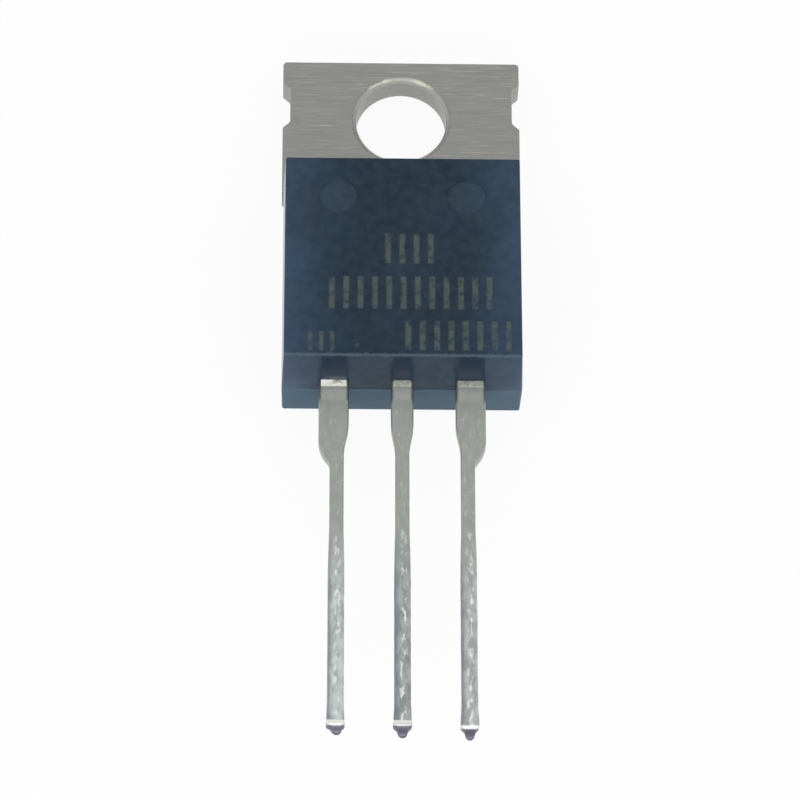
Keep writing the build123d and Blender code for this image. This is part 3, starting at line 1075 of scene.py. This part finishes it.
def shape_notch(sizes, side, half_width, end_y):
    """The cutter of a side notch, which narrows towards its floor."""
    centre_y = end_y - sizes.notch_to_end
    half = sizes.notch_floor / 2
    edge_x = side * half_width
    notch = block(
        "notch",
        (edge_x - sizes.notch_depth, centre_y - half, -sizes.thickness),
        (edge_x + sizes.notch_depth, centre_y + half, 2 * sizes.thickness),
    )
    edit(notch)
    choose(notch, "VERT", lambda v: abs(v.co.x) > half_width)
    mouth = (sizes.notch_height - half) / half
    bpy.ops.transform.resize(value=(1, mouth, 1), center_override=(edge_x, centre_y, 0))
    bevel(
        notch,
        lambda e: runs_along(e, 2) and abs(middle(e).x) < half_width,
        sizes.notch_blend,
        6,
    )
    return notch


def shape_tab(sizes):
    """The tab with its hole and notches, and the pad with its locks and groove."""
    high = HEADER_HIGH
    half_width, end_y, start_y = high.x, high.y, MOULDING_HIGH.y
    pad_half = MOULDING_HIGH.x - sizes.side_cover
    pad_end = MOULDING_LOW.y + sizes.end_cover
    thick = sizes.thickness
    piece = block("header", (-half_width, start_y, 0), (half_width, end_y, thick))
    edit(piece)
    for side in (-1, 1):
        bpy.ops.mesh.select_all(action="SELECT")
        bpy.ops.mesh.bisect(plane_co=(side * pad_half, 0, 0), plane_no=(1, 0, 0))
    extend(
        piece,
        1,
        start_y,
        (0, pad_end - start_y, 0),
        low=(-pad_half, start_y, 0),
        high=(pad_half, start_y, thick),
    )
    bevel(
        piece,
        lambda e: runs_along(e, 2) and middle(e).y > end_y - NEAR and abs(middle(e).x) > pad_half,
        sizes.corner_radius,
        4,
    )
    for side in (-1, 1):
        cut(piece, shape_notch(sizes, side, half_width, end_y))
        lock = block(
            "lock",
            (side * pad_half - sizes.rabbet_width, pad_end - thick, -thick),
            (side * pad_half + sizes.rabbet_width, start_y, sizes.rabbet_depth),
        )
        cut(piece, lock)
    end_lock = block(
        "end_lock",
        (-half_width, pad_end - thick, -thick),
        (half_width, pad_end + sizes.rabbet_width, sizes.rabbet_depth),
    )
    cut(piece, end_lock)
    groove_y = start_y - sizes.groove_to_end
    groove = block(
        "groove",
        (-half_width, groove_y - sizes.groove_width / 2, thick - sizes.groove_depth),
        (half_width, groove_y + sizes.groove_width / 2, thick + sizes.groove_depth),
    )
    edit(groove)
    choose(groove, "VERT", lambda v: v.co.z < thick)
    bpy.ops.transform.resize(value=(1, 0.1, 1), center_override=(0, groove_y, 0))
    choose(groove, "VERT", lambda v: v.co.z > thick)
    bpy.ops.transform.resize(value=(1, 2.0, 1), center_override=(0, groove_y, 0))
    cut(piece, groove)
    cut(piece, make_cylinder("drill", (0, 0), HOLE_RADIUS, -thick, 2 * thick))
    edit(piece)

    def on_front(edge, nearest, furthest):
        reach = middle(edge).xy.length
        return on_plane(edge, 2, thick) and nearest < reach < furthest

    bevel(piece, lambda e: on_front(e, 0, HOLE_RADIUS * 1.01), sizes.rim_chamfer, 1)
    bevel(
        piece,
        lambda e: on_front(e, HOLE_RADIUS * 1.1, 1) and middle(e).y > start_y - NEAR,
        sizes.edge_radius,
        3,
    )
    return piece


def shape_centre_lead(header, leads):
    """The strip that steps up from the front of the pad and becomes the centre lead."""
    half = header.neck_width / 2
    lead_thick = LEAD_HIGH.z - LEAD_LOW.z
    lead_end = LEAD_LOW.y
    pad_end = MOULDING_LOW.y + header.end_cover
    radius, slope = header.step_radius, header.step_slope
    low_z = header.thickness - lead_thick / 2
    high_z = (LEAD_LOW.z + LEAD_HIGH.z) / 2
    tangent = radius * math.tan(slope / 2)
    foot_y = pad_end - header.step_start
    head_y = foot_y - (high_z - low_z) / math.tan(slope)
    climb = (high_z - low_z) / math.sin(slope) - 2 * tangent
    piece = block(
        "centre_lead",
        (-half, foot_y + tangent, low_z - lead_thick / 2),
        (half, pad_end + header.rabbet_width, low_z + lead_thick / 2),
    )
    edit(piece)
    choose(piece, "FACE", lambda f: on_plane(f, 1, foot_y + tangent))
    bpy.ops.mesh.spin(
        steps=6, angle=slope, center=(0, foot_y + tangent, low_z + radius), axis=(1, 0, 0)
    )
    bpy.ops.mesh.extrude_region_move(
        TRANSFORM_OT_translate={
            "value": (0, -climb * math.cos(slope), climb * math.sin(slope))
        }
    )
    bpy.ops.mesh.spin(
        steps=6, angle=slope, center=(0, head_y - tangent, high_z - radius), axis=(-1, 0, 0)
    )
    shoulder = leads.centre_width / 2
    stem = leads.stem_width / 2
    inner_end = MOULDING_LOW.y - leads.inner_length
    draw_lead(
        piece,
        head_y - tangent,
        (
            (MOULDING_LOW.y + header.neck_cover, -half, half),
            (MOULDING_LOW.y + header.neck_cover - STEP_RUN, -shoulder, shoulder),
            (inner_end, -shoulder, shoulder),
            (inner_end - leads.inner_taper, -stem, stem),
            (lead_end, -stem, stem),
        ),
    )
    soften_bends(piece, (inner_end - leads.inner_taper, inner_end), leads.blend_run)
    bevel(piece, lambda e: middle(e).y < MOULDING_LOW.y + header.neck_cover, leads.edge_radius, 3)
    return piece


def shape_outer_lead(leads):
    """The outer lead at +X: a post in the moulding, a cropped shoulder and a stem."""
    post_low = MOULDING_LOW.y + leads.post_cover
    piece = block(
        "lead_emitter", (LEAD_HIGH.x - leads.post_width, post_low, LEAD_LOW.z), LEAD_HIGH
    )
    stem_left, stem_right = LEAD_PITCH - leads.stem_width / 2, LEAD_PITCH + leads.stem_width / 2
    left, right = stem_left - leads.inner_step, stem_right + leads.outer_step
    outer_end = MOULDING_LOW.y - leads.shoulder_length
    inner_end = MOULDING_LOW.y - leads.inner_length

    def between(y, start, run, first, last):
        share = min(max((start - y) / run, 0), 1)
        return first + (last - first) * share

    stations = [(post_low - STEP_RUN, left, right)]
    for y in (
        inner_end,
        inner_end - leads.inner_taper,
        outer_end,
        outer_end - leads.shoulder_taper,
        LEAD_LOW.y,
    ):
        stations.append(
            (
                y,
                between(y, inner_end, leads.inner_taper, left, stem_left),
                between(y, outer_end, leads.shoulder_taper, right, stem_right),
            )
        )
    edit(piece)
    choose(piece, "FACE", lambda f: on_plane(f, 1, post_low))
    draw_lead(piece, post_low, stations)
    soften_bends(piece, (outer_end,), leads.corner_run)
    soften_bends(piece, (inner_end - leads.inner_taper, inner_end), leads.blend_run)
    soften_bends(piece, (outer_end - leads.shoulder_taper,), leads.foot_run)
    bevel(piece, lambda e: middle(e).y < post_low, leads.edge_radius, 3)
    return piece


def soften_bends(piece, places, run):
    """Rounds the bends in a lead's outline at the Y places given."""
    bpy.ops.mesh.select_all(action="SELECT")
    bpy.ops.mesh.dissolve_limited(angle_limit=math.radians(1))

    def is_bend(edge):
        y = middle(edge).y
        return runs_along(edge, 2) and any(abs(y - place) < NEAR for place in places)

    choose(piece, "EDGE", lambda e: e.calc_face_angle(0) > 0.05 and is_bend(e))
    bpy.ops.mesh.bevel(offset=run, offset_type="OFFSET", segments=6, affect="EDGES")


def add_clouds(piece, name, size, height):
    """Raises and sinks a piece's surface by soft noise, and applies it."""
    clouds = bpy.data.textures.new(name, "CLOUDS")
    clouds.noise_scale = size
    apply_modifier(
        piece, "DISPLACE", texture=clouds, texture_coords="LOCAL", mid_level=0.5, strength=height
    )


def shape_ridge(name, left, right, sizes):
    """A ridge across a lead's front, with a slope that faces down the lead."""
    lead_top = LEAD_HIGH.z
    lean = math.tan(bpy.context.scene.transistor_moulding.lead_end_draft)
    wall_y = MOULDING_LOW.y + (lead_top - LEAD_LOW.z) * lean
    piece = block(
        name,
        (left, wall_y - sizes.reach, lead_top - sizes.tuck),
        (right, wall_y + sizes.tuck, lead_top + sizes.height),
    )
    edit(piece)
    shift(
        piece,
        lambda v: v.co.y < wall_y and v.co.z > lead_top,
        (0, sizes.reach, 0),
    )
    choose(piece, "EDGE", lambda e: runs_along(e, 0))
    bpy.ops.mesh.subdivide(number_cuts=24)
    add_clouds(piece, name + "_dents", 0.2 * MM, sizes.unevenness)
    return piece


def shape_coat(name, x, sizes, leads, drip):
    """Solder that thickens down a lead, swells round its end and hangs in a drip."""
    half_x = leads.stem_width / 2
    half_z = (LEAD_HIGH.z - LEAD_LOW.z) / 2
    start = Vector((x, COAT_HIGH.y, (LEAD_LOW.z + LEAD_HIGH.z) / 2))
    tip_y = LEAD_LOW.y
    lean, drip_length, drip_end = drip
    deselect_all()
    bpy.ops.mesh.primitive_circle_add(
        vertices=40, radius=1, fill_type="NGON", location=start, rotation=(math.pi / 2, 0, 0)
    )
    piece = bpy.context.object
    piece.name = name
    bpy.ops.object.transform_apply(location=True, rotation=True, scale=True)
    edit(piece)
    mesh = bmesh.from_edit_mesh(piece.data)
    for vertex in mesh.verts:
        away = vertex.co - start
        squared = [math.copysign(abs(part) ** (1 / 3), part) for part in (away.x, away.z)]
        vertex.co.x = x + (half_x - sizes.sunk) * squared[0]
        vertex.co.z = start.z + (half_z - sizes.sunk) * squared[1]
    bmesh.update_edit_mesh(piece.data)
    bpy.ops.mesh.select_all(action="SELECT")

    def smooth(share):
        share = min(max(share, 0), 1)
        return share * share * (3 - 2 * share)

    steps = round((start.y - tip_y) / sizes.ring_step)
    rings = []
    for step in range(1, steps + 1):
        y = start.y + (tip_y - start.y) * step / steps
        grown = (sizes.sunk + sizes.thickness) * smooth((start.y - y) / sizes.thickening)
        grown += sizes.bulge_height * smooth(1 - (y - tip_y) / sizes.bulge_length)
        rings.append((x, y, half_x - sizes.sunk + grown, half_z - sizes.sunk + grown))
    full_x, full_z = rings[-1][2:]
    for place, width in DRIP_PROFILE:
        width = max(width, drip_end)
        rings.append(
            (x + lean * place, tip_y - drip_length * place, full_x * width, full_z * width)
        )
    centre_x, y = x, start.y
    now_x, now_z = half_x - sizes.sunk, half_z - sizes.sunk
    for next_x, next_y, wide, high in rings:
        bpy.ops.mesh.extrude_region_move(
            TRANSFORM_OT_translate={"value": (next_x - centre_x, next_y - y, 0)}
        )
        bpy.ops.transform.resize(
            value=(wide / now_x, 1, high / now_z), center_override=(next_x, next_y, start.z)
        )
        centre_x, y, now_x, now_z = next_x, next_y, wide, high
    add_clouds(piece, name + "_lumps", sizes.lump_size, sizes.lump_height)
    return piece


# Operators, one for each piece or group of like pieces and one for the stage


def shared_groups():
    """The shader groups, made once and then found by name."""
    makers = {"grain": make_grain_group, "ragged band": make_ragged_group, "ink bars": make_ink_group}
    found = {name: bpy.data.node_groups.get(name) or make() for name, make in makers.items()}
    return {name.split()[0]: group for name, group in found.items()}


class TRANSISTOR_OT_header(bpy.types.Operator):
    """Models the metal tab, its pad and the centre lead, which are one piece"""

    bl_idname = "transistor.header"
    bl_label = "Header"

    def execute(self, context):
        scene = context.scene
        sizes, leads = scene.transistor_header, scene.transistor_leads
        piece = shape_tab(sizes)
        strip = shape_centre_lead(sizes, leads)
        apply_modifier(piece, "BOOLEAN", operation="UNION", solver="EXACT", object=strip)
        bpy.data.objects.remove(strip)
        finish_mesh(piece)
        metal = make_header_metal(
            shared_groups(), scene.transistor_finishes, sizes, leads
        )
        stand_for(piece, "collector_header", metal)
        return {"FINISHED"}


class TRANSISTOR_OT_outer_leads(bpy.types.Operator):
    """Models one outer lead and mirrors it for the other"""

    bl_idname = "transistor.outer_leads"
    bl_label = "Outer leads"

    def execute(self, context):
        scene = context.scene
        emitter = shape_outer_lead(scene.transistor_leads)
        deselect_all()
        base = copy_piece(emitter, "lead_base")
        activate(base)
        bpy.ops.transform.resize(value=(-1, 1, 1), center_override=(0, 0, 0))
        bpy.ops.object.transform_apply(location=True, rotation=True, scale=True)
        metal = make_lead_metal(
            shared_groups(), scene.transistor_finishes, scene.transistor_leads
        )
        for piece, node in ((emitter, "emitter_lead"), (base, "base_lead")):
            finish_mesh(piece)
            stand_for(piece, node, metal)
        return {"FINISHED"}


class TRANSISTOR_OT_moulding(bpy.types.Operator):
    """Models the moulding, with the pockets that its inserts fill"""

    bl_idname = "transistor.moulding"
    bl_label = "Moulding"

    def execute(self, context):
        scene = context.scene
        piece = shape_moulding(scene.transistor_moulding)
        for insert in ("header", "lead_base", "lead_emitter"):
            cut(piece, copy_piece(bpy.data.objects[insert], "insert"))
        finish_mesh(piece)
        compound = make_compound(
            shared_groups(),
            scene.transistor_finishes,
            scene.transistor_moulding,
            scene.transistor_leads,
        )
        stand_for(piece, "moulded_body", compound)
        return {"FINISHED"}


class TRANSISTOR_OT_exit_ridges(bpy.types.Operator):
    """Models the bare ridges across the leads at the moulding"""

    bl_idname = "transistor.exit_ridges"
    bl_label = "Exit ridges"

    def execute(self, context):
        scene = context.scene
        leads = scene.transistor_leads
        metal = make_ridge_metal(shared_groups(), scene.transistor_finishes)
        inner = LEAD_PITCH - leads.stem_width / 2 - leads.inner_step
        outer = LEAD_PITCH + leads.stem_width / 2 + leads.outer_step
        inset = leads.edge_radius
        for name, left, right in (
            ("ridge_base", -outer, -inner),
            ("ridge_collector", -leads.centre_width / 2, leads.centre_width / 2),
            ("ridge_emitter", inner, outer),
        ):
            piece = shape_ridge(name, left + inset, right - inset, scene.transistor_ridges)
            finish_mesh(piece)
            piece.data.materials.append(metal)
            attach(piece, "root")
        return {"FINISHED"}


class TRANSISTOR_OT_solder(bpy.types.Operator):
    """Models the solder on the lower part of each lead"""

    bl_idname = "transistor.solder"
    bl_label = "Solder"

    def execute(self, context):
        scene = context.scene
        metal = make_solder(shared_groups(), scene.transistor_finishes)
        drips = (
            ("base", -LEAD_PITCH, (0.06 * MM, 0.38 * MM, 0.2)),
            ("collector", 0, (0, 0.5 * MM, 0.15)),
            ("emitter", LEAD_PITCH, (0.0 * MM, 0.58 * MM, 0.1)),
        )
        for lead, x, drip in drips:
            piece = shape_coat(
                "coat_" + lead, x, scene.transistor_solder, scene.transistor_leads, drip
            )
            finish_mesh(piece, 60.0)
            stand_for(piece, lead + "_solder_coat", metal)
        return {"FINISHED"}


class TRANSISTOR_OT_sealed_pieces(bpy.types.Operator):
    """Finishes the die, its solder and the bonding wires, which the moulding hides"""

    bl_idname = "transistor.sealed_pieces"
    bl_label = "Sealed pieces"

    def execute(self, context):
        finishes = context.scene.transistor_finishes
        groups = shared_groups()
        even, drawn = (9.0, 9.0, 9.0), (14.0, 2.0, 14.0)
        silicon = make_inner_metal("die_silicon", groups, finishes.silicon, 0.12, even)
        solder = make_inner_metal("die_solder", groups, finishes.solder, 0.35, even)
        wire = make_inner_metal("bond_wire", groups, finishes.aluminium, 0.25, drawn)
        for node, material in (
            ("silicon_die", silicon),
            ("die_attach_solder", solder),
            ("base_bond_wire", wire),
            ("emitter_bond_wire", wire),
        ):
            mesh = frame["nodes"][node].data
            mesh.materials.clear()
            mesh.materials.append(material)
        return {"FINISHED"}


class TRANSISTOR_OT_stage(bpy.types.Operator):
    """Sets the floor, the light and the camera"""

    bl_idname = "transistor.stage"
    bl_label = "Stage"

    def execute(self, context):
        scene = context.scene
        studio, finishes = scene.transistor_studio, scene.transistor_finishes
        scene.view_settings.view_transform = "Standard"
        deselect_all()
        bpy.ops.mesh.primitive_grid_add(
            x_subdivisions=4, y_subdivisions=4, size=2000 * MM, location=(0, 0, 0)
        )
        floor = context.object
        floor.name = "floor"
        floor.data.materials.append(make_floor(shared_groups(), finishes, studio.white_share))
        set_world(scene, studio)
        add_front_lamp(studio)
        add_camera(scene, studio)
        return {"FINISHED"}


def set_world(scene, studio):
    """Even light all round, which the camera sees as white."""
    world = bpy.data.worlds.new("even_light")
    world.use_nodes = True
    scene.world = world
    tree = world.node_tree
    light = tree.nodes["Background"]
    light.inputs["Color"].default_value = (1, 1, 1, 1)
    light.inputs["Strength"].default_value = studio.world_level
    white = add_node(tree, "ShaderNodeBackground", Color=(1.0, 1.0, 1.0, 1.0), Strength=1.0)
    rays = add_node(tree, "ShaderNodeLightPath").outputs
    mixed = add_node(
        tree,
        "ShaderNodeMixShader",
        i0=rays["Is Camera Ray"],
        i1=light.outputs[0],
        i2=white.outputs[0],
    )
    tree.links.new(mixed.outputs[0], tree.nodes["World Output"].inputs["Surface"])


def add_front_lamp(studio):
    """A wide soft lamp, low in front of the leads and turned to the part."""
    deselect_all()
    aim = Vector((0, -6 * MM, 2 * MM))
    reach = Vector((0, -math.cos(studio.lamp_height), math.sin(studio.lamp_height)))
    place = aim + reach * studio.lamp_distance
    bpy.ops.object.light_add(
        type="AREA", location=place, rotation=(-reach).to_track_quat("-Z", "Y").to_euler()
    )
    lamp = bpy.context.object
    lamp.name = "front_lamp"
    lamp.data.shape = "RECTANGLE"
    lamp.data.size = studio.lamp_width
    lamp.data.size_y = studio.lamp_width / 6
    lamp.data.energy = studio.front_level


def add_camera(scene, studio):
    """A camera that looks down on the part from in front of its leads."""
    aim = Vector((0, -11.76 * MM, 1.96 * MM))
    tilt, turn, roll = studio.tilt, studio.turn, studio.roll
    back = Vector(
        (math.sin(turn) * math.sin(tilt), -math.cos(turn) * math.sin(tilt), math.cos(tilt))
    )
    right = Vector((math.cos(turn), math.sin(turn), 0))
    up = back.cross(right)
    across = right * math.cos(roll) + up * math.sin(roll)
    upright = up * math.cos(roll) - right * math.sin(roll)
    bpy.ops.object.camera_add()
    camera = bpy.context.object
    camera.name = "camera"
    camera.matrix_world = Matrix.Translation(aim + back * studio.distance) @ Matrix(
        (across, upright, back)
    ).transposed().to_4x4()
    camera.data.lens = studio.focal_length
    camera.data.sensor_width = 36
    camera.data.shift_x = studio.shift_across
    camera.data.shift_y = studio.shift_up
    camera.data.clip_start = 10 * MM
    camera.data.clip_end = 5
    scene.camera = camera


class TRANSISTOR_PT_panel(bpy.types.Panel):
    """Lists the operators that make the transistor"""

    bl_idname = "TRANSISTOR_PT_panel"
    bl_label = "Power Transistor"
    bl_space_type = "VIEW_3D"
    bl_region_type = "UI"
    bl_category = "Transistor"

    def draw(self, context):
        for operator in OPERATORS:
            self.layout.operator(operator.bl_idname)


SETTINGS = {
    "transistor_moulding": TransistorMouldingSizes,
    "transistor_header": TransistorHeaderSizes,
    "transistor_leads": TransistorLeadSizes,
    "transistor_solder": TransistorSolderSizes,
    "transistor_ridges": TransistorRidgeSizes,
    "transistor_finishes": TransistorFinishes,
    "transistor_studio": TransistorStudio,
}
OPERATORS = (
    TRANSISTOR_OT_header,
    TRANSISTOR_OT_outer_leads,
    TRANSISTOR_OT_moulding,
    TRANSISTOR_OT_exit_ridges,
    TRANSISTOR_OT_solder,
    TRANSISTOR_OT_sealed_pieces,
    TRANSISTOR_OT_stage,
)


def register():
    """Registers the settings, the operators and the panel."""
    for name, group in SETTINGS.items():
        bpy.utils.register_class(group)
        setattr(bpy.types.Scene, name, PointerProperty(type=group))
    for operator in OPERATORS:
        bpy.utils.register_class(operator)
    bpy.utils.register_class(TRANSISTOR_PT_panel)


def unregister():
    """Removes what register() added."""
    bpy.utils.unregister_class(TRANSISTOR_PT_panel)
    for operator in reversed(OPERATORS):
        bpy.utils.unregister_class(operator)
    for name, group in reversed(SETTINGS.items()):
        delattr(bpy.types.Scene, name)
        bpy.utils.unregister_class(group)


def main():
    """Makes the whole transistor and its stage."""
    register()
    for operator in OPERATORS:
        group, name = operator.bl_idname.split(".")
        getattr(getattr(bpy.ops, group), name)()


if __name__ == "__main__":
    main()
